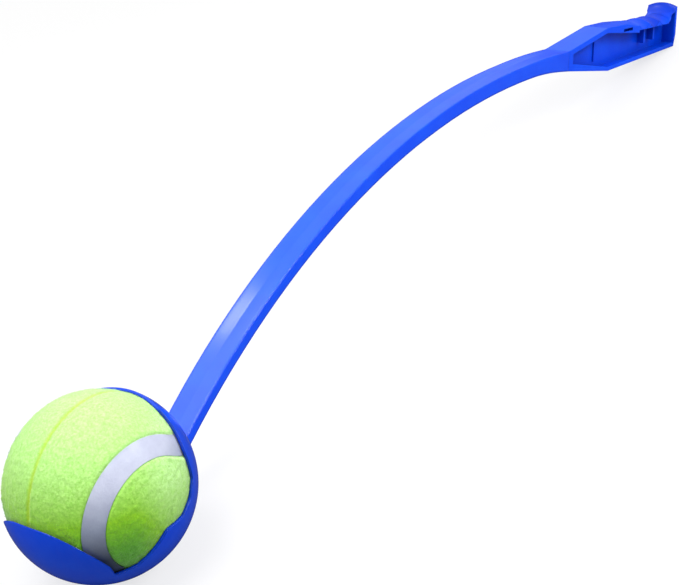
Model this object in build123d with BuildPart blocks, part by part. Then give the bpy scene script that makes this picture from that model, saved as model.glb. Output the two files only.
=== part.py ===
"""Dog ball thrower: a curved blue plastic thrower with a felt ball snapped into its cup.

The thrower stands on the bottom of its cup and on the far corner of its grip, with
the arm arched above. X runs along its length toward the grip, Z is up, and the
thrower is symmetric about the XZ plane. The origin is at the middle of the
footprint, on the surface that it stands on. All lengths are in millimetres.
"""
from build123d import *
from math import asin, atan2, cos, degrees, hypot, radians, sin
import os

# Ball
ball_diameter = 65.0
felt_thickness = 2.5
core_wall = 3.3
seam_band_width = 7.8
seam_band_step = 0.3
seam_lobe_angle = 45.0
block_margin = 1.5
ring_margin = 3.5
ball_roll_angle = -6.2
ball_pitch_angle = -52.8
ball_spin_angle = 78.2
core_joint_roll_angle = 88.1
core_joint_pitch_angle = -1.6
felt_crease_width = 1.0
felt_crease_depth = 0.5

# Cup
cup_clearance = 0.15
cup_wall = 1.15
rim_round = 1.6

# Arm
arm_length = 350.2
arm_root_angle = -2.1
arm_root_slope_angle = 49.8
arm_turn_angle = 46.1
arm_bend_share = 0.51
arm_width_at_cup = 12.5
arm_width_at_grip = 13.8
arm_thickness_at_cup = 4.0
arm_thickness_at_grip = 7.7
arm_root_standoff = 0.6
arm_root_overlap = 5.0
arm_flare = 2.7
arm_flare_start_share = 0.83

# Throat, where the arm grows into the grip
throat_top_length = 50.3
throat_top_slope_angle = 12.5
throat_bottom_length = 54.1
throat_bottom_slope_angle = -2.3

# Grip
grip_length = 99.6
grip_slope_angle = 6.3
grip_end_width = 17.6
end_plate_height = 25.5
end_plate_thickness = 2.4
end_plate_corner_round = 2.0
toe_set_back = 2.4
toe_rise = 7.0
grip_web = 2.0
bottom_flange = 2.2
top_flange = 3.2
pocket_front_gap = 5.0
throat_top_wall = 2.8
throat_bottom_wall = 3.8
upper_block_height = 6.6
hook_hollow = 1.8
hook_wall = 4.0

# Finger ridges and scallops
ridge_count = 4
ridge_pitch = 14.9
last_ridge_setback = 12.2
ridge_height = 19.9
ridge_land = 1.0
scallop_depth = 2.0
crest_cut = 0.1
dome_radius = 14.0
dome_run_in = 26.0
dome_ridge_gap = 4.0

# Ribs and slot inside the grip's pockets
rib_thickness = 2.0
rib_reach = 4.0
rib_rise = 7.2
web_rib_width = 1.0
web_rib_reach = 0.8
web_rib_set_back = 8.0
web_rib_rise = 6.0
slot_length = 12.7
slot_height = 1.6
slot_depth = 3.0
slot_cover = 2.6
slot_ridge_gap = 10.4

# One overrun serves every cut
overrun = 20.0

# Sizes that follow from the ones above
ball_radius = ball_diameter / 2
core_radius = ball_radius - felt_thickness
cup_inner_radius = ball_radius + cup_clearance
cup_radius = cup_inner_radius + cup_wall


def offset_point(point, length, angle):
    """The point at a distance from another, in a direction given in degrees."""
    return (point[0] + length * cos(radians(angle)), point[1] + length * sin(radians(angle)))


# The side outline is drawn about the ball's centre, and then tilted until the
# thrower stands. The arm's bend is strongest at the cup and fades toward the grip.
arm_steps = 48


def arm_slope(share):
    """The arm's slope in degrees, at a share of its length from the cup."""
    turned_share = share + arm_bend_share * (share - share**2)
    return arm_root_slope_angle - arm_turn_angle * turned_share


def arm_line():
    """Points of the arm's middle line, one for each step."""
    point = offset_point((0, 0), cup_radius + arm_root_standoff, arm_root_angle)
    points = [point]
    for step in range(arm_steps):
        middle_share = (step + 0.5) / arm_steps
        point = offset_point(point, arm_length / arm_steps, arm_slope(middle_share))
        points.append(point)
    return points


arm_points = arm_line()


def flare(share):
    """How much deeper the arm's underside is as it runs into the grip."""
    return arm_flare * (max(0, share - arm_flare_start_share) / (1 - arm_flare_start_share)) ** 2


def arm_edge(side):
    """Points of the arm's upper edge (side 1) or lower edge (side -1)."""
    edge = []
    for step in range(0, arm_steps + 1, 6):
        share = step / arm_steps
        growth = arm_thickness_at_grip - arm_thickness_at_cup
        half = (arm_thickness_at_cup + growth * share) / 2
        if side < 0:
            half += flare(share)
        edge.append(offset_point(arm_points[step], half, arm_slope(share) + side * 90))
    return edge


arm_top = arm_edge(1)
arm_bottom = arm_edge(-1)
arm_end_slope = arm_slope(1)
flare_end_slope = arm_end_slope - degrees(atan2(2 * arm_flare, arm_length * (1 - arm_flare_start_share)))

# Grip corners
heel = offset_point(arm_bottom[-1], throat_bottom_length, throat_bottom_slope_angle)
shoulder = offset_point(arm_top[-1], throat_top_length, throat_top_slope_angle)


def at_grip(along, up):
    """A point given along the grip's underside from its heel, and up from it."""
    return offset_point(offset_point(heel, along, grip_slope_angle), up, grip_slope_angle + 90)


def in_grip(point):
    """The reverse: how far along and up from the heel a point lies."""
    run, rise = point[0] - heel[0], point[1] - heel[1]
    turn = radians(grip_slope_angle)
    return (run * cos(turn) + rise * sin(turn), rise * cos(turn) - run * sin(turn))


toe = at_grip(grip_length - toe_set_back, 0)
shoulder_along, shoulder_up = in_grip(shoulder)
last_ridge_along = grip_length - last_ridge_setback
first_ridge_along = last_ridge_along - (ridge_count - 1) * ridge_pitch
top_fall_share = (shoulder_up - ridge_height) / (last_ridge_along - shoulder_along)


def grip_top(along):
    """Height of the line over the ridge tips."""
    return shoulder_up - (along - shoulder_along) * top_fall_share


# The thrower tilts until the cup's bottom and the toe touch the surface
toe_reach = hypot(*toe)
stand_tilt = degrees(atan2(toe[1], toe[0]) + asin(cup_radius / toe_reach))


def stood(point):
    """A point of the tilted side outline: X from the ball's centre, Z from the surface."""
    turn = radians(stand_tilt)
    forward = point[0] * cos(turn) + point[1] * sin(turn)
    return (forward, cup_radius + point[1] * cos(turn) - point[0] * sin(turn))


length_end = stood(at_grip(grip_length, end_plate_height))[0]
ball_x = -(length_end - cup_radius) / 2
ball_centre = Vector(ball_x, 0, cup_radius)

tilt_cos = cos(radians(stand_tilt))
tilt_sin = sin(radians(stand_tilt))
side_plane = Plane(origin=ball_centre, x_dir=(tilt_cos, 0, -tilt_sin), z_dir=(0, -1, 0))
plan_plane = Plane(origin=ball_centre, x_dir=(tilt_cos, 0, -tilt_sin), z_dir=(tilt_sin, 0, tilt_cos))
grip_turn = radians(stand_tilt - grip_slope_angle)
grip_axis = Vector(cos(grip_turn), 0, -sin(grip_turn))


def grip_place(along, up):
    """A point of the grip's middle plane in the standing frame."""
    forward, height = stood(at_grip(along, up))
    return Vector(ball_x + forward, 0, height)


# Ball cup
# The rim in side view, in shares of the cup's outer radius: hood, side rim, notch, front lip
rim_shares = [
    (0.50, 1.30),
    (0.49, 0.95),
    (0.37, 0.80),
    (0.335, 0.46),
    (0.36, 0.19),
    (0.27, 0.02),
    (0.14, -0.115),
    (-0.09, -0.18),
    (-0.20, -0.40),
    (-0.28, -0.54),
    (-0.434, -0.65),
    (-0.56, -0.50),
    (-0.78, -0.31),
    (-0.97, -0.14),
    (-1.30, -0.04),
]
rim_points = [(cup_radius * across, cup_radius * up) for across, up in rim_shares]
mouth_corner = (-cup_radius - overrun, cup_radius + overrun)
hood_corner = (rim_points[0][0], cup_radius + overrun)
lip_corner = (-cup_radius - overrun, rim_points[-1][1])

with BuildPart() as ball_cup:
    with Locations(ball_centre):
        Sphere(cup_radius)
        Sphere(cup_inner_radius, mode=Mode.SUBTRACT)
    with BuildSketch(side_plane):
        with BuildLine():
            rim = FilletPolyline(*rim_points, radius=rim_round)
            Polyline(rim @ 1, lip_corner, mouth_corner, hood_corner, rim @ 0)
        make_face()
    extrude(amount=cup_radius + overrun, both=True, mode=Mode.SUBTRACT)

# Throwing arm
root_back = offset_point((0, 0), arm_root_overlap, arm_root_slope_angle + 180)
arm_root_top = (arm_top[0][0] + root_back[0], arm_top[0][1] + root_back[1])
arm_root_bottom = (arm_bottom[0][0] + root_back[0], arm_bottom[0][1] + root_back[1])

with BuildPart() as throwing_arm:
    with BuildSketch(side_plane):
        with BuildLine():
            root_tangent = offset_point((0, 0), 1, arm_root_slope_angle)
            end_tangent = offset_point((0, 0), 1, arm_end_slope)
            flare_tangent = offset_point((0, 0), 1, flare_end_slope)
            upper = Spline(*arm_top, tangents=(root_tangent, end_tangent))
            lower = Spline(*arm_bottom, tangents=(root_tangent, flare_tangent))
            Line(upper @ 1, lower @ 1)
            Polyline(upper @ 0, arm_root_top, arm_root_bottom, lower @ 0)
        make_face()
    extrude(amount=arm_width_at_grip, both=True)
    with BuildSketch(plan_plane):
        with BuildLine():
            root_u = arm_root_bottom[0] - overrun
            end_u = arm_bottom[-1][0] + overrun
            arm_run = arm_points[-1][0] - arm_points[0][0]
            taper_share = (arm_width_at_grip - arm_width_at_cup) / (2 * arm_run)
            root_half = arm_width_at_cup / 2 + (root_u - arm_points[0][0]) * taper_share
            end_half = arm_width_at_grip / 2 + (end_u - arm_points[-1][0]) * taper_share
            Polyline(
                (root_u, -root_half),
                (end_u, -end_half),
                (end_u, end_half),
                (root_u, root_half),
                close=True,
            )
        make_face()
    extrude(amount=arm_length, both=True, mode=Mode.INTERSECT)
    with Locations(ball_centre):
        Sphere(cup_radius, mode=Mode.SUBTRACT)


# Grip handle: throat, grip and end plate
def ridge_along(number):
    """Where a finger ridge stands along the grip, counted from the throat."""
    return first_ridge_along + number * ridge_pitch


def grip_half_width(along):
    """Half the grip's width, which grows from the throat to the end plate."""
    share = (along - shoulder_along) / (grip_length - shoulder_along)
    return (arm_width_at_grip + (grip_end_width - arm_width_at_grip) * share) / 2


half_land = ridge_land / 2
plate_inner_along = grip_length - end_plate_thickness
hook_start = (last_ridge_along + half_land, grip_top(last_ridge_along))
hook_end = (plate_inner_along, end_plate_height)
hook_middle = ((hook_start[0] + hook_end[0]) / 2, (hook_start[1] + hook_end[1]) / 2)
hook_run = hypot(hook_end[0] - hook_start[0], hook_end[1] - hook_start[1])
hook_dip = (
    hook_middle[0] + hook_hollow * (hook_end[1] - hook_start[1]) / hook_run,
    hook_middle[1] - hook_hollow * (hook_end[0] - hook_start[0]) / hook_run,
)

# The grip's top is turned about one axis under the ridges, so that it is domed across
dome_start = first_ridge_along - dome_ridge_gap
dome_axis_start = grip_place(dome_start, grip_top(dome_start) - dome_radius)
dome_axis_end = grip_place(last_ridge_along, grip_top(last_ridge_along) - dome_radius)
dome_axis = Axis(dome_axis_start, dome_axis_end - dome_axis_start)
dome_side_drop = dome_radius - (dome_radius**2 - (grip_end_width / 2) ** 2) ** 0.5
plate_plane = Plane(
    origin=grip_place(last_ridge_along + half_land, end_plate_height),
    x_dir=(0, 1, 0),
    z_dir=grip_axis,
)


def on_crest(along, up):
    """A point of the turned outline, a little lower than the blank that it is cut from."""
    return at_grip(along, up - crest_cut)


# Pocket outline, inside the flanges, the throat's walls and the end plate
pocket_low_front = offset_point(
    offset_point(arm_bottom[-1], pocket_front_gap, throat_bottom_slope_angle),
    throat_bottom_wall,
    throat_bottom_slope_angle + 90,
)
pocket_high_front = offset_point(
    offset_point(arm_top[-1], pocket_front_gap, throat_top_slope_angle),
    throat_top_wall,
    throat_top_slope_angle - 90,
)
under_scallops = scallop_depth + top_flange
block_end_along = first_ridge_along
pocket_points = [
    pocket_low_front,
    at_grip(0, bottom_flange),
    at_grip(plate_inner_along, bottom_flange),
    at_grip(plate_inner_along, end_plate_height - hook_wall),
    at_grip(last_ridge_along, grip_top(last_ridge_along) - under_scallops),
    at_grip(block_end_along, grip_top(block_end_along) - under_scallops),
    at_grip(block_end_along, grip_top(block_end_along) - upper_block_height),
    at_grip(shoulder_along, shoulder_up - throat_top_wall),
    pocket_high_front,
]

with BuildPart() as grip_handle:
    with BuildSketch(side_plane):
        with BuildLine():
            Polyline(
                shoulder,
                arm_top[-1],
                arm_bottom[-1],
                heel,
                toe,
                at_grip(grip_length, toe_rise),
                at_grip(grip_length, end_plate_height),
                at_grip(dome_start, end_plate_height),
                at_grip(dome_start, grip_top(dome_start)),
                close=True,
            )
        make_face()
    extrude(amount=grip_end_width, both=True)
    with BuildSketch(plan_plane):
        with BuildLine():
            throat_half = arm_width_at_grip / 2
            end_half = grip_half_width(grip_length)
            throat_u = arm_bottom[-1][0] - overrun
            end_u = at_grip(grip_length, 0)[0]
            past_end_u = end_u + overrun
            widening_share = (end_half - throat_half) / (end_u - shoulder[0])
            past_end_half = end_half + overrun * widening_share
            Polyline(
                (throat_u, -throat_half),
                (shoulder[0], -throat_half),
                (past_end_u, -past_end_half),
                (past_end_u, past_end_half),
                (shoulder[0], throat_half),
                (throat_u, throat_half),
                close=True,
            )
        make_face()
    extrude(amount=arm_length, both=True, mode=Mode.INTERSECT)
    # Ridges, scallops, the hook up the end plate and its crowned top, turned over the axis
    with BuildSketch(side_plane) as above_grip:
        with BuildLine():
            Line(
                on_crest(dome_start - dome_run_in, grip_top(dome_start - dome_run_in) + dome_side_drop),
                on_crest(dome_start, grip_top(dome_start)),
            )
            Line(
                on_crest(dome_start, grip_top(dome_start)),
                on_crest(first_ridge_along + half_land, grip_top(first_ridge_along)),
            )
            for number in range(1, ridge_count):
                tip = ridge_along(number)
                before = ridge_along(number - 1)
                middle = (before + tip) / 2
                ThreePointArc(
                    on_crest(before + half_land, grip_top(before)),
                    on_crest(middle, grip_top(middle) - scallop_depth),
                    on_crest(tip - half_land, grip_top(tip)),
                )
                Line(on_crest(tip - half_land, grip_top(tip)), on_crest(tip + half_land, grip_top(tip)))
            ThreePointArc(on_crest(*hook_start), on_crest(*hook_dip), on_crest(*hook_end))
            Polyline(
                on_crest(*hook_end),
                on_crest(grip_length + overrun, end_plate_height),
                at_grip(grip_length + overrun, end_plate_height + overrun),
                at_grip(dome_start - dome_run_in, end_plate_height + overrun),
                on_crest(dome_start - dome_run_in, grip_top(dome_start - dome_run_in) + dome_side_drop),
            )
        make_face()
    for way in (dome_axis, dome_axis.reverse()):
        revolve(above_grip.sketch, axis=way, revolution_arc=90, mode=Mode.SUBTRACT)
    # The end plate's top corners are rounded
    with BuildSketch(plate_plane):
        Rectangle(2 * grip_end_width, 2 * end_plate_corner_round)
        with Locations((0, -end_plate_height)):
            RectangleRounded(
                grip_end_width,
                2 * end_plate_height,
                end_plate_corner_round,
                mode=Mode.SUBTRACT,
            )
    extrude(amount=last_ridge_setback + overrun, mode=Mode.SUBTRACT)
    # A pocket on each side of the middle web, with its ribs and the slot above it
    for side in (1, -1):
        with BuildSketch(side_plane.offset(side * grip_web / 2)):
            with BuildLine():
                Polyline(*pocket_points, close=True)
            make_face()
        extrude(amount=side * grip_end_width, mode=Mode.SUBTRACT)
        with BuildSketch(side_plane.offset(side * grip_web / 2)):
            for number in range(1, ridge_count - 1):
                along = ridge_along(number)
                with BuildLine():
                    Polyline(
                        at_grip(along - rib_thickness / 2, rib_rise),
                        at_grip(along + rib_thickness / 2, rib_rise),
                        at_grip(along + rib_thickness / 2, grip_top(along) - scallop_depth),
                        at_grip(along - rib_thickness / 2, grip_top(along) - scallop_depth),
                        close=True,
                    )
                make_face()
        extrude(amount=side * rib_reach)
        with BuildSketch(side_plane.offset(side * grip_web / 2)):
            with BuildLine():
                Polyline(
                    at_grip(-web_rib_set_back - web_rib_width, web_rib_rise),
                    at_grip(-web_rib_set_back, web_rib_rise),
                    at_grip(-web_rib_set_back, shoulder_up - throat_top_wall),
                    at_grip(-web_rib_set_back - web_rib_width, shoulder_up - throat_top_wall),
                    close=True,
                )
            make_face()
        extrude(amount=side * web_rib_reach)
        slot_end_along = first_ridge_along - slot_ridge_gap
        slot_start_along = slot_end_along - slot_length
        slot_floor = grip_half_width(slot_end_along) - slot_depth
        with BuildSketch(side_plane.offset(side * slot_floor)):
            with BuildLine():
                Polyline(
                    at_grip(slot_start_along, grip_top(slot_start_along) - slot_cover),
                    at_grip(slot_end_along, grip_top(slot_end_along) - slot_cover),
                    at_grip(slot_end_along, grip_top(slot_end_along) - slot_cover - slot_height),
                    at_grip(slot_start_along, grip_top(slot_start_along) - slot_cover - slot_height),
                    close=True,
                )
            make_face()
        extrude(amount=side * grip_end_width, mode=Mode.SUBTRACT)

# Ball core: two bonded rubber half shells
core_plane = Plane(Location(ball_centre, (core_joint_roll_angle, core_joint_pitch_angle, 0)))

with BuildPart() as core_half_near:
    with Locations(ball_centre):
        Sphere(core_radius)
        Sphere(core_radius - core_wall, mode=Mode.SUBTRACT)
    split(bisect_by=core_plane, keep=Keep.TOP)

with BuildPart() as core_half_far:
    with Locations(ball_centre):
        Sphere(core_radius)
        Sphere(core_radius - core_wall, mode=Mode.SUBTRACT)
    split(bisect_by=core_plane, keep=Keep.BOTTOM)

# The ball's cover is drawn about its own axes and then turned into place. The seam's
# path is four half rings, each about an axis of the ball, that join into one winding
# loop. Cut out of a thick cover, they leave two dog-bone blocks that shape the felt.
ball_place = Location(ball_centre, (ball_roll_angle, ball_pitch_angle, ball_spin_angle))
band_half_angle = degrees(seam_band_width / ball_diameter)
band_start_angle = seam_lobe_angle - band_half_angle

with BuildPart() as panel_blocks:
    Sphere(ball_radius + block_margin)
    Sphere(core_radius - block_margin, mode=Mode.SUBTRACT)
    for quarter in range(4):
        lobe_plane = Plane(Location((0, 0, 0), (0, 0, 90 * quarter)))
        turn_direction = lobe_plane.x_dir if quarter % 2 == 0 else -lobe_plane.x_dir
        with BuildSketch(lobe_plane):
            with BuildLine():
                inner_radius = core_radius - ring_margin
                outer_radius = ball_radius + ring_margin
                inner_arc = CenterArc((0, 0), inner_radius, band_start_angle, 2 * band_half_angle)
                outer_arc = CenterArc((0, 0), outer_radius, band_start_angle, 2 * band_half_angle)
                Line(inner_arc @ 0, outer_arc @ 0)
                Line(inner_arc @ 1, outer_arc @ 1)
            make_face()
        revolve(axis=Axis((0, 0, 0), turn_direction), revolution_arc=180, mode=Mode.SUBTRACT)

back_block, front_block = panel_blocks.part.solids().sort_by(Axis.Z)

with BuildPart() as seam_shell:
    Sphere(ball_radius - seam_band_step)
    Sphere(core_radius, mode=Mode.SUBTRACT)
    add(back_block, mode=Mode.SUBTRACT)
    add(front_block, mode=Mode.SUBTRACT)

with BuildPart() as seam_band:
    add(seam_shell.part.moved(ball_place))

with BuildPart() as back_shell:
    Sphere(ball_radius)
    Sphere(core_radius, mode=Mode.SUBTRACT)
    add(back_block, mode=Mode.INTERSECT)

with BuildPart() as felt_panel_back:
    add(back_shell.part.moved(ball_place))

with BuildPart() as front_shell:
    Sphere(ball_radius)
    Sphere(core_radius, mode=Mode.SUBTRACT)
    add(front_block, mode=Mode.INTERSECT)

# The front panel shows the core's joint as a thin crease
with BuildPart() as felt_panel_front:
    add(front_shell.part.moved(ball_place))
    with BuildSketch(core_plane):
        Circle(ball_radius + overrun)
        Circle(ball_radius - felt_crease_depth, mode=Mode.SUBTRACT)
    extrude(amount=felt_crease_width / 2, both=True, mode=Mode.SUBTRACT)

nodes = {
    "ball_cup": ball_cup,
    "throwing_arm": throwing_arm,
    "grip_handle": grip_handle,
    "core_half_near": core_half_near,
    "core_half_far": core_half_far,
    "seam_band": seam_band,
    "felt_panel_front": felt_panel_front,
    "felt_panel_back": felt_panel_back,
}
os.makedirs("parts", exist_ok=True)
for name, node in nodes.items():
    node.part.label = name
    export_step(node.part, f"parts/{name}.step")
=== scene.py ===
"""Looks for the dog ball thrower: glossy blue plastic, and a felt ball with a pale seam.

The thrower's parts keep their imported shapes. The two felt panels are replaced by a
finely modelled felt cover with short fibres. All lengths are in metres.
"""

import math

import bpy
import numpy as np
from mathutils import Euler, Matrix, Vector


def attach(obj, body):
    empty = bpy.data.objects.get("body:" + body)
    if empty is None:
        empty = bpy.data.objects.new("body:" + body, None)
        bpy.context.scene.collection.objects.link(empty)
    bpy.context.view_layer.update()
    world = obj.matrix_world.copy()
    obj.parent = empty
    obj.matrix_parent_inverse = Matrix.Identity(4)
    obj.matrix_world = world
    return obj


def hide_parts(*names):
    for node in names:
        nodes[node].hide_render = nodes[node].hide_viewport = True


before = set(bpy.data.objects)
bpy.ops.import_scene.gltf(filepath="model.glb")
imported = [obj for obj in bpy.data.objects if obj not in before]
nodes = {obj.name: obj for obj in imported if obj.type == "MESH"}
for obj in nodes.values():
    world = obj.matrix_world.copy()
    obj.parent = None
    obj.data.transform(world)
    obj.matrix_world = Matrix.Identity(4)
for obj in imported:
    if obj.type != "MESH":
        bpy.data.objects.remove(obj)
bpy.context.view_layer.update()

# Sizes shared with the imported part
STAND_TILT = math.radians(18.62020)
BALL_CENTRE = Vector((-0.2448730, 0.0, 0.0338))
BALL_TURN = Euler((math.radians(-6.2), math.radians(-52.8), math.radians(78.2)), "ZYX")
BALL_RADIUS = 0.0325
SEAM_HALF_WIDTH = 0.0039
SEAM_LOBE_ANGLE = math.radians(45)
CREASE_NORMAL = Vector((-0.0279, -0.9990, 0.0332))

# Felt panels: a fine mesh whose edge dives under the seam, with a crease and gentle lumps
SPHERE_DIVISIONS = 7
EDGE_REACH = 0.0012
EDGE_DIVE = 0.0009
EDGE_DIVE_SPAN = (SEAM_HALF_WIDTH - 0.0006, SEAM_HALF_WIDTH + 0.0012)
CREASE_DEPTH = 0.00045
CREASE_SPAN = (0.0002, 0.0009)
BROAD_LUMP_HEIGHT, BROAD_LUMPS = 0.00008, {"seed": 3, "count": 24, "fineness": 60.0}
FINE_LUMP_HEIGHT, FINE_LUMPS = 0.00006, {"seed": 5, "count": 32, "fineness": 190.0}

# Felt colour: painted light makes it paler in two steps toward the top, and toward the ball's
# outer side
OUTER_SIDE = np.array((0.530, -0.840, -0.118))
LOWER_PAINTED_LIGHT = (-0.25, 0.35, 0.35)
UPPER_PAINTED_LIGHT = (0.05, 0.95, 0.55)
SIDE_PAINTED_LIGHT = (0.45, 0.95, 0.60)
CREASE_MARK_SPAN = (0.0003, 0.0011)
CREASE_MARK = 0.65
CREASE_COLOUR = (0.42, 0.62, 0.004, 1.0)

# Loose fibres: points are drawn over the whole ball, and each panel keeps its own
FIBRE_DRAWS = 70000
FIBRE_EDGE_GAP = 0.0001
FIBRE_LENGTHS = (0.0005, 0.0013)
FIBRE_LIFTS = (0.15, 0.75)
FIBRE_ROOT_DEPTH = 0.0001
FIBRE_HALF_WIDTH = 0.00003
FIBRE_TIP_SWAY = 0.8
FIBRE_TIP_DROOP = 0.35

# Blue plastic: the pigment's two tones, and the painted shade that recesses and the hook's top
# darken to
WHITE = (1.0, 1.0, 1.0)
BLUE_TONES = ((0.001, 0.070, 0.92), (0.002, 0.085, 0.97))
RECESS_SHADE = (0.36, 0.42, 0.46)
HOOK_SHADE = (0.30, 0.45, 0.56)
HOOK_SPAN_X = (0.216, 0.246)
HOOK_SPAN_Z = (0.017, 0.021)
HOOK_SPAN_FACING = (0.1, 0.6)
STREAK_STRETCH = (7.0, 420.0, 7.0)
GROOVE_SLOPE = 0.05

# Seam rubber: the heights between which its painted shade fades out, and the rounding of its
# edges
SEAM_SHADE_SPAN_Z = (0.026, 0.052)
SEAM_EDGE_ROUNDING = 0.0002

# Samples of the bevel and recess nodes
SHADING_SAMPLES = 6

# A colour Mix node's sockets, whose names repeat
MIX_FACTOR, MIX_FIRST, MIX_SECOND, MIX_RESULT = 0, 6, 7, 2


# Nodes
def grey(level):
    """A colour with its three channels at one level."""
    return (level,) * 3


def connect(tree, value, socket):
    """Link a value to a socket, or set it there where it is a constant."""
    if isinstance(value, bpy.types.NodeSocket):
        tree.links.new(value, socket)
    else:
        socket.default_value = value


def add_node(tree, kind, **values):
    """A node of a kind, with its sockets linked or set, and its properties set."""
    node = tree.nodes.new(kind)
    for key, value in values.items():
        if key in node.inputs:
            connect(tree, value, node.inputs[key])
        else:
            setattr(node, key, value)
    return node


def new_material(name, settings):
    """A material, its tree and its principled shader, with the shader's constants set."""
    material = bpy.data.materials.new(name)
    material.use_nodes = True
    tree = material.node_tree
    shader = tree.nodes["Principled BSDF"]
    for socket, value in settings.items():
        shader.inputs[socket].default_value = value
    return material, tree, shader


def coordinates(tree, kind="Object"):
    """The object's own coordinates, or another kind that the node gives."""
    return add_node(tree, "ShaderNodeTexCoord").outputs[kind]


def axis(tree, vector, letter):
    """One component of a vector."""
    return add_node(tree, "ShaderNodeSeparateXYZ", Vector=vector).outputs[letter]


def noise(tree, scale, detail, roughness, stretch=None):
    """Noise in the object's own coordinates, which may be stretched first."""
    place = coordinates(tree)
    if stretch:
        place = add_node(tree, "ShaderNodeMapping", Vector=place, Scale=stretch).outputs["Vector"]
    texture = add_node(
        tree, "ShaderNodeTexNoise", Vector=place, Scale=scale, Detail=detail, Roughness=roughness
    )
    return texture.outputs["Fac"]


def ramp(tree, source, stops):
    """A colour ramp over a source, with its stops as (place, colour)."""
    made = add_node(tree, "ShaderNodeValToRGB", Fac=source)
    elements = made.color_ramp.elements
    while len(elements) < len(stops):
        elements.new(0.5)
    for element, (place, colour) in zip(elements, stops):
        element.position = place
        element.color = (*colour, 1.0)
    return made.outputs["Color"]


def calculated(tree, operation, *values):
    """The result of a Math node on sockets and constants."""
    node = add_node(tree, "ShaderNodeMath", operation=operation)
    for socket, value in zip(node.inputs, values):
        connect(tree, value, socket)
    return node.outputs["Value"]


def rescaled(tree, source, span):
    """A value that goes from 0 to 1 over a span, and stays there outside it."""
    low, high = span
    return add_node(
        tree, "ShaderNodeMapRange", **{"Value": source, "From Min": low, "From Max": high}
    ).outputs["Result"]


def mixed(tree, first, second, factor, blend_type="MIX"):
    """Two colours mixed."""
    mix = add_node(tree, "ShaderNodeMix", data_type="RGBA", blend_type=blend_type)
    for index, value in ((MIX_FACTOR, factor), (MIX_FIRST, first), (MIX_SECOND, second)):
        connect(tree, value, mix.inputs[index])
    return mix.outputs[MIX_RESULT]


def multiplied(tree, first, second):
    """One colour times another."""
    return mixed(tree, first, second, 1.0, "MULTIPLY")


def mixed_shader(tree, factor, first, second):
    """The first shader where the factor is 0, and the second where it is 1."""
    node = add_node(tree, "ShaderNodeMixShader")
    for socket, value in zip(node.inputs, (factor, first, second)):
        tree.links.new(value, socket)
    return node.outputs["Shader"]


def bumped(tree, height, strength, distance, **base):
    """A normal with a bump on it, over a base normal where one is given."""
    bump = add_node(
        tree, "ShaderNodeBump", Height=height, Strength=strength, Distance=distance, **base
    )
    return bump.outputs["Normal"]


def rounded(tree, edge):
    """A normal that rounds the edges in the shading."""
    return add_node(
        tree, "ShaderNodeBevel", samples=SHADING_SAMPLES, Radius=edge
    ).outputs["Normal"]


# Materials
def hook_shaded(tree, base):
    """A colour with painted shade on the upward faces of the grip's last stretch, up to the hook.
    """
    place = coordinates(tree)
    along = rescaled(tree, axis(tree, place, "X"), HOOK_SPAN_X)
    upward = rescaled(tree, axis(tree, coordinates(tree, "Normal"), "Z"), HOOK_SPAN_FACING)
    above = rescaled(tree, axis(tree, place, "Z"), HOOK_SPAN_Z)
    share = calculated(tree, "MULTIPLY", calculated(tree, "MULTIPLY", along, upward), above)
    return multiplied(tree, base, ramp(tree, share, [(0.0, WHITE), (1.0, HOOK_SHADE)]))


def blue_plastic(name, edge, reach, specular, strength, hooked=False, grooved=False):
    """Glossy moulded plastic with flow streaks along its length and rounded edges.

    Recesses get painted shade over the given reach, and a strength below 1 is painted shade.
    Hooked plastic gets painted shade on top of its hook, and a grooved face has a faint
    valley along its middle.
    """
    material, tree, shader = new_material(name, {"IOR": 1.5, "Specular IOR Level": specular})
    dark, light = (tuple(channel * strength for channel in tone) for tone in BLUE_TONES)
    flow = noise(tree, scale=60.0, detail=4.0, roughness=0.6)
    pigment = ramp(tree, flow, [(0.35, dark), (0.65, light)])
    # Painted shade: the colour darkens where the recesses are occluded
    cavity = add_node(tree, "ShaderNodeAmbientOcclusion", samples=SHADING_SAMPLES, Distance=reach)
    shade = ramp(tree, cavity.outputs["AO"], [(0.25, RECESS_SHADE), (0.97, WHITE)])
    base = multiplied(tree, pigment, shade)
    # Painted shade on the upward faces of the hook
    if hooked:
        base = hook_shaded(tree, base)
    tree.links.new(base, shader.inputs["Base Color"])
    streaks = noise(tree, scale=1.0, detail=3.0, roughness=0.55, stretch=STREAK_STRETCH)
    gloss = ramp(tree, streaks, [(0.35, grey(0.15)), (0.65, grey(0.25))])
    tree.links.new(gloss, shader.inputs["Roughness"])
    normal = bumped(tree, streaks, strength=0.12, distance=0.0003, Normal=rounded(tree, edge))
    if grooved:
        apart = calculated(tree, "ABSOLUTE", axis(tree, coordinates(tree), "Y"))
        rise = calculated(tree, "MULTIPLY", apart, GROOVE_SLOPE)
        normal = bumped(tree, rise, strength=1.0, distance=1.0, Normal=normal)
    tree.links.new(normal, shader.inputs["Normal"])
    return material


def paint(name, material):
    """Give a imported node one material."""
    nodes[name].data.materials.clear()
    nodes[name].data.materials.append(material)


# The cup is the same plastic as the rest, with its pigment at a lower strength as painted shade
paint(
    "ball_cup",
    blue_plastic("blue_cup_moulding", edge=0.0009, reach=0.010, specular=0.28, strength=0.72),
)
paint(
    "throwing_arm",
    blue_plastic(
        "blue_arm_moulding", edge=0.0016, reach=0.010, specular=0.5, strength=1.0, grooved=True
    ),
)
paint(
    "grip_handle",
    blue_plastic(
        "blue_grip_moulding", edge=0.0006, reach=0.016, specular=0.18, strength=1.0, hooked=True
    ),
)
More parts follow.
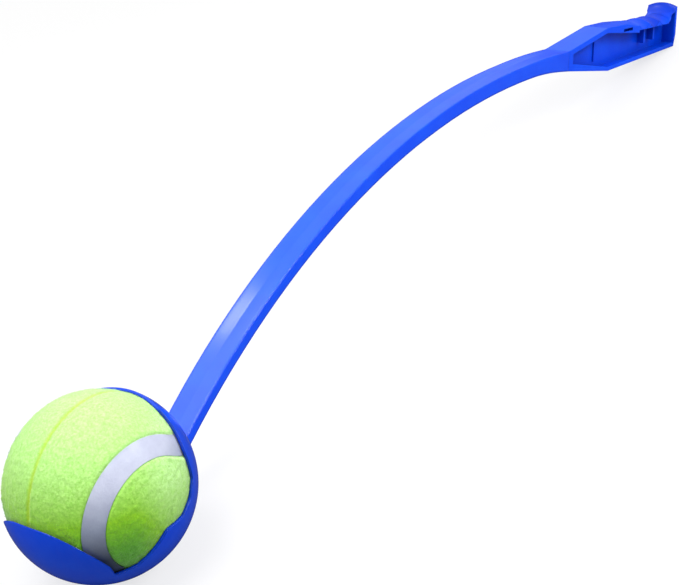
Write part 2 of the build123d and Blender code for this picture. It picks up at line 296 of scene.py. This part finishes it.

# The seam is matt grey-lilac rubber, a little stained and pitted, with painted shade that darkens
# it toward the cup
seam_rubber, tree, shader = new_material("seam_rubber_pale", {"Roughness": 0.75})
stain = noise(tree, scale=140.0, detail=5.0, roughness=0.6)
tint = ramp(tree, stain, [(0.3, (0.40, 0.42, 0.55)), (0.7, (0.49, 0.52, 0.64))])
# Painted shade: the seam darkens toward the cup, by height
climb = rescaled(tree, axis(tree, coordinates(tree), "Z"), SEAM_SHADE_SPAN_Z)
seam_shade = ramp(tree, climb, [(0.0, (0.10, 0.14, 0.18)), (0.5, (0.52, 0.57, 0.62)), (1.0, WHITE)])
tree.links.new(multiplied(tree, tint, seam_shade), shader.inputs["Base Color"])
pits = noise(tree, scale=1500.0, detail=4.0, roughness=0.6)
edge = rounded(tree, SEAM_EDGE_ROUNDING)
pitted = bumped(tree, pits, strength=0.35, distance=0.0003, Normal=edge)
tree.links.new(pitted, shader.inputs["Normal"])
paint("seam_band", seam_rubber)

# The core is dark moulded rubber, hidden under the felt
core_rubber, tree, shader = new_material("core_rubber_dark", {"Roughness": 0.8})
dust = noise(tree, scale=300.0, detail=4.0, roughness=0.6)
tint = ramp(tree, dust, [(0.3, grey(0.03)), (0.7, (0.07, 0.07, 0.065))])
tree.links.new(tint, shader.inputs["Base Color"])
paint("core_half_near", core_rubber)
paint("core_half_far", core_rubber)

# Felt is dyed wool with a soft sheen, mottled, yellow in its crease, and painted paler toward its
# top and outer side as light
felt, tree, shader = new_material(
    "felt_yellow_green",
    {
        "Roughness": 0.95,
        "Specular IOR Level": 0.25,
        "Sheen Weight": 0.40,
        "Sheen Roughness": 0.5,
        "Sheen Tint": (0.95, 1.0, 0.85, 1.0),
    },
)
clump = noise(tree, scale=1100.0, detail=5.0, roughness=0.7)
mottle = ramp(tree, clump, [(0.32, (0.60, 0.78, 0.40)), (0.66, WHITE)])
# Painted light: the dye runs from a shaded dark green low down to a lit pale green on top and on
# the outer side
painted_light = add_node(tree, "ShaderNodeAttribute", attribute_name="painted_light")
dye_and_painted_light = ramp(
    tree,
    painted_light.outputs["Fac"],
    [(0.0, (0.095, 0.41, 0.012)), (0.35, (0.28, 0.61, 0.008)), (1.0, (0.60, 0.92, 0.40))],
)
crease = add_node(tree, "ShaderNodeAttribute", attribute_name="crease")
wool = mixed(tree, multiplied(tree, dye_and_painted_light, mottle), CREASE_COLOUR, crease.outputs["Fac"])
tree.links.new(wool, shader.inputs["Base Color"])
nap = noise(tree, scale=1400.0, detail=5.0, roughness=0.7)
tree.links.new(bumped(tree, nap, strength=0.6, distance=0.0006), shader.inputs["Normal"])


# Felt cover
turn = np.array(BALL_TURN.to_matrix())
centre = np.array(BALL_CENTRE)
crease_normal = np.array(CREASE_NORMAL.normalized())


def seam_distance(points):
    """Signed distance along the ball from the seam's middle line, positive on the front panel.

    The points are unit vectors in the ball's own axes. Above the XY plane the seam
    circles the X axis at the lobe angle, and below it the Y axis.
    """
    x, y, z = np.abs(points[:, 0]), np.abs(points[:, 1]), points[:, 2]
    upper = np.arccos(np.clip(x, -1, 1)) - SEAM_LOBE_ANGLE
    lower = SEAM_LOBE_ANGLE - np.arccos(np.clip(y, -1, 1))
    return np.where(z >= 0, upper, lower) * BALL_RADIUS


def unit(vectors):
    """Vectors scaled to length 1."""
    return vectors / np.linalg.norm(vectors, axis=1, keepdims=True)


def smooth(value, low, high):
    """A smooth step from 0 at low to 1 at high."""
    share = np.clip((value - low) / (high - low), 0, 1)
    return share * share * (3 - 2 * share)


def lumps(points, seed, count, fineness):
    """Gentle unevenness over the ball, as a sum of random waves of one rough size."""
    generator = np.random.default_rng(seed)
    ways = unit(generator.normal(size=(count, 3)))
    phases = generator.uniform(0, 2 * math.pi, count)
    waves = generator.uniform(0.7, 1.4, count) * fineness
    return np.sin(points @ (ways * waves[:, None]).T + phases).mean(axis=1) * math.sqrt(count)


def felt_height(units):
    """How far the felt's surface lies from the ball's centre, and its distance from the seam.

    The units are unit vectors in the frame's axes.
    """
    distance = seam_distance(units @ turn)
    dive = 1 - smooth(np.abs(distance), *EDGE_DIVE_SPAN)
    from_crease = np.abs(units @ crease_normal) * BALL_RADIUS
    groove = (1 - smooth(from_crease, *CREASE_SPAN)) * (distance > 0)
    height = BALL_RADIUS - EDGE_DIVE * dive - CREASE_DEPTH * groove
    height += BROAD_LUMP_HEIGHT * lumps(units, **BROAD_LUMPS)
    height += FINE_LUMP_HEIGHT * lumps(units, **FINE_LUMPS)
    return height, distance


def felt_piece(name, vertices, faces, units):
    """A felt object whose mesh keeps how much painted light and how near the crease each point
    is.

    The units are the vertices' unit vectors from the ball's centre, in the frame's axes.
    """
    mesh = bpy.data.meshes.new(name)
    mesh.from_pydata(vertices.tolist(), [], faces)
    # Painted light: paler toward the top and toward the ball's outer side
    painted_light_share = sum(
        smooth(way, low, high) * share
        for way, (low, high, share) in (
            (units[:, 2], LOWER_PAINTED_LIGHT),
            (units[:, 2], UPPER_PAINTED_LIGHT),
            (units @ OUTER_SIDE, SIDE_PAINTED_LIGHT),
        )
    )
    from_crease = np.abs(units @ crease_normal) * BALL_RADIUS
    on_front = seam_distance(units @ turn) > SEAM_HALF_WIDTH
    creased = (1 - smooth(from_crease, *CREASE_MARK_SPAN)) * on_front * CREASE_MARK
    for label, values in (("painted_light", painted_light_share), ("crease", creased)):
        kept = mesh.attributes.new(label, "FLOAT", "POINT")
        kept.data.foreach_set("value", values.astype(np.float32))
    made = bpy.data.objects.new(name, mesh)
    bpy.context.scene.collection.objects.link(made)
    made.data.materials.append(felt)
    return made


def felt_cover(name, side):
    """One felt panel as a fine smooth mesh, cut from a sphere just under the seam's edge."""
    bpy.ops.mesh.primitive_ico_sphere_add(subdivisions=SPHERE_DIVISIONS, radius=1.0)
    sphere = bpy.context.object
    units = np.empty(len(sphere.data.vertices) * 3)
    sphere.data.vertices.foreach_get("co", units)
    units = unit(units.reshape(-1, 3))
    faces = np.empty(len(sphere.data.polygons) * 3, np.int64)
    sphere.data.polygons.foreach_get("vertices", faces)
    faces = faces.reshape(-1, 3)
    bpy.data.objects.remove(sphere)
    height, distance = felt_height(units)
    wanted = (distance * side)[faces].max(axis=1) > SEAM_HALF_WIDTH - EDGE_REACH
    used, faces = np.unique(faces[wanted], return_inverse=True)
    places = centre + units[used] * height[used, None]
    panel = felt_piece(name, places, faces.reshape(-1, 3).tolist(), units[used])
    panel.data.polygons.foreach_set("use_smooth", [True] * len(panel.data.polygons))
    return panel


def felt_fibres(name, side, seed):
    """Short loose fibres over one panel, each a thin strip bent at its middle."""
    generator = np.random.default_rng(seed)
    units = unit(generator.normal(size=(FIBRE_DRAWS, 3)))
    height, distance = felt_height(units)
    keep = distance * side > SEAM_HALF_WIDTH + FIBRE_EDGE_GAP
    units, height = units[keep], height[keep]
    sway = generator.normal(size=units.shape)
    sway = unit(sway - (sway * units).sum(axis=1, keepdims=True) * units)
    half_length = generator.uniform(*FIBRE_LENGTHS, (len(units), 1)) * 0.5
    lift = generator.uniform(*FIBRE_LIFTS, (len(units), 1))
    root = centre + units * (height[:, None] - FIBRE_ROOT_DEPTH)
    middle = root + half_length * (sway + lift * units)
    tip = middle + half_length * (sway * FIBRE_TIP_SWAY + (lift - FIBRE_TIP_DROOP) * units)
    half = np.cross(units, sway) * FIBRE_HALF_WIDTH
    corners = np.stack([root - half, root + half, middle + half, middle - half, tip], axis=1)
    corner_count = corners.shape[1]
    first = np.arange(len(units))[:, None] * corner_count
    quads = (first + np.array([0, 1, 2, 3])).tolist()
    tips = (first + np.array([3, 2, 4])).tolist()
    return felt_piece(
        name, corners.reshape(-1, 3), quads + tips, np.repeat(units, corner_count, axis=0)
    )


for label, side, seed in (("front", 1, 11), ("back", -1, 12)):
    panel = felt_cover(f"felt_cover_{label}", side)
    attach(panel, "ball")
    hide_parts(f"felt_panel_{label}")
    nap_piece = felt_fibres(f"felt_fibres_{label}", side, seed)
    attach(nap_piece, "ball")

# Camera, from the fit to the photograph. Its directions and its place from the ball's
# centre are in the thrower's own side frame, before it is tilted to stand
RIGHT = (0.54023029, -0.8395301, 0.0577966)
DOWN = (-0.17733621, -0.18071508, -0.96741611)
FORWARD = (0.82261966, 0.51237805, -0.24650685)
VIEWPOINT = Vector((-0.33710055, -0.30184177, 0.18580600))
FOCAL_PIXELS = 1400.142743
PHOTO_WIDTH_PIXELS = 679
SENSOR_WIDTH_MM = 36.0
stand = Matrix.Rotation(STAND_TILT, 3, "Y")
right, down, forward = (stand @ Vector(way) for way in (RIGHT, DOWN, FORWARD))

camera_data = bpy.data.cameras.new("camera")
camera_data.sensor_fit = "HORIZONTAL"
camera_data.sensor_width = SENSOR_WIDTH_MM
camera_data.lens = FOCAL_PIXELS / PHOTO_WIDTH_PIXELS * SENSOR_WIDTH_MM
camera_data.clip_start = 0.01
camera = bpy.data.objects.new("camera", camera_data)
bpy.context.scene.collection.objects.link(camera)
placed = Matrix((right, -down, -forward)).transposed().to_4x4()
placed.translation = BALL_CENTRE + stand @ VIEWPOINT
camera.matrix_world = placed
bpy.context.scene.camera = camera


# Studio
def soft_light(name, place, target, size, watts):
    """A square area light aimed at a point."""
    data = bpy.data.lights.new(name, "AREA")
    data.shape = "SQUARE"
    data.size = size
    data.energy = watts
    light = bpy.data.objects.new(name, data)
    bpy.context.scene.collection.objects.link(light)
    light.location = place
    aim = Vector(target) - Vector(place)
    light.rotation_euler = aim.to_track_quat("-Z", "Y").to_euler()


soft_light("front_light", (0.20, -0.78, 0.64), (0.0, 0.0, 0.05), size=0.9, watts=6.6)
soft_light("edge_light", (0.20, -0.88, 0.92), (-0.13, 0.0, 0.055), size=0.35, watts=5.0)
soft_light("top_light", (-0.45, 0.0, 0.75), BALL_CENTRE, size=0.4, watts=3.9)
soft_light("gloss_light", (0.08, 0.69, 1.22), (-0.12, 0.0, 0.08), size=0.20, watts=1.1)

# The object sees a grey studio that is brightest behind and above, the camera a white one
BRIGHTEST_SIDE = (-0.05, 0.60, 0.80)
STUDIO_LEVELS = (
    (0.2, 0.03), (0.5, 0.09), (0.7, 0.18), (0.82, 0.26), (0.955, 0.36), (1.0, 0.80)
)
world = bpy.data.worlds.new("studio")
bpy.context.scene.world = world
world.use_nodes = True
tree = world.node_tree
toward_back = add_node(tree, "ShaderNodeVectorMath", operation="DOT_PRODUCT")
for socket, value in zip(toward_back.inputs, (coordinates(tree, "Generated"), BRIGHTEST_SIDE)):
    connect(tree, value, socket)
share = calculated(tree, "MULTIPLY_ADD", toward_back.outputs["Value"], 0.5, 0.5)
fall = ramp(tree, share, [(place, grey(level)) for place, level in STUDIO_LEVELS])
surround = tree.nodes["Background"]
surround.inputs["Strength"].default_value = 3.0
tree.links.new(fall, surround.inputs["Color"])
white = add_node(tree, "ShaderNodeBackground", Color=(*WHITE, 1.0), Strength=1.0)
seen = mixed_shader(
    tree,
    add_node(tree, "ShaderNodeLightPath").outputs["Is Camera Ray"],
    surround.outputs["Background"],
    white.outputs["Background"],
)
tree.links.new(seen, tree.nodes["World Output"].inputs["Surface"])

# Plain pale floor, which keeps the object's soft shadow. It looks dark in the plastic's gloss,
# and glows for diffuse rays, a glow that lights the object's underside a little
FLOOR_SIZE = 30.0
FLOOR_DROP = 0.0002
bpy.ops.mesh.primitive_plane_add(size=FLOOR_SIZE, location=(0, 0, -FLOOR_DROP))
floor = bpy.context.object
floor.name = "floor"
pale, tree, shader = new_material("pale_floor", {"Roughness": 0.9, "Specular IOR Level": 0.0})
grain = noise(tree, scale=4.0, detail=2.0, roughness=0.5)
tone = ramp(tree, grain, [(0.3, grey(0.20)), (0.7, grey(0.21))])
tree.links.new(tone, shader.inputs["Base Color"])
glow = add_node(tree, "ShaderNodeEmission", Strength=0.73)
bright = add_node(tree, "ShaderNodeAddShader")
tree.links.new(shader.outputs["BSDF"], bright.inputs[0])
tree.links.new(glow.outputs["Emission"], bright.inputs[1])
dull = add_node(tree, "ShaderNodeBsdfDiffuse", Color=(*grey(0.08), 1.0))
# A glow for diffuse rays only, which lights the object's underside
underside_glow = add_node(tree, "ShaderNodeEmission", Strength=0.65)
rays = add_node(tree, "ShaderNodeLightPath").outputs
unseen = mixed_shader(
    tree, rays["Is Diffuse Ray"], dull.outputs["BSDF"], underside_glow.outputs["Emission"]
)
surface = mixed_shader(tree, rays["Is Camera Ray"], unseen, bright.outputs["Shader"])
tree.links.new(surface, tree.nodes["Material Output"].inputs["Surface"])
floor.data.materials.append(pale)

bpy.context.scene.view_settings.view_transform = "Standard"
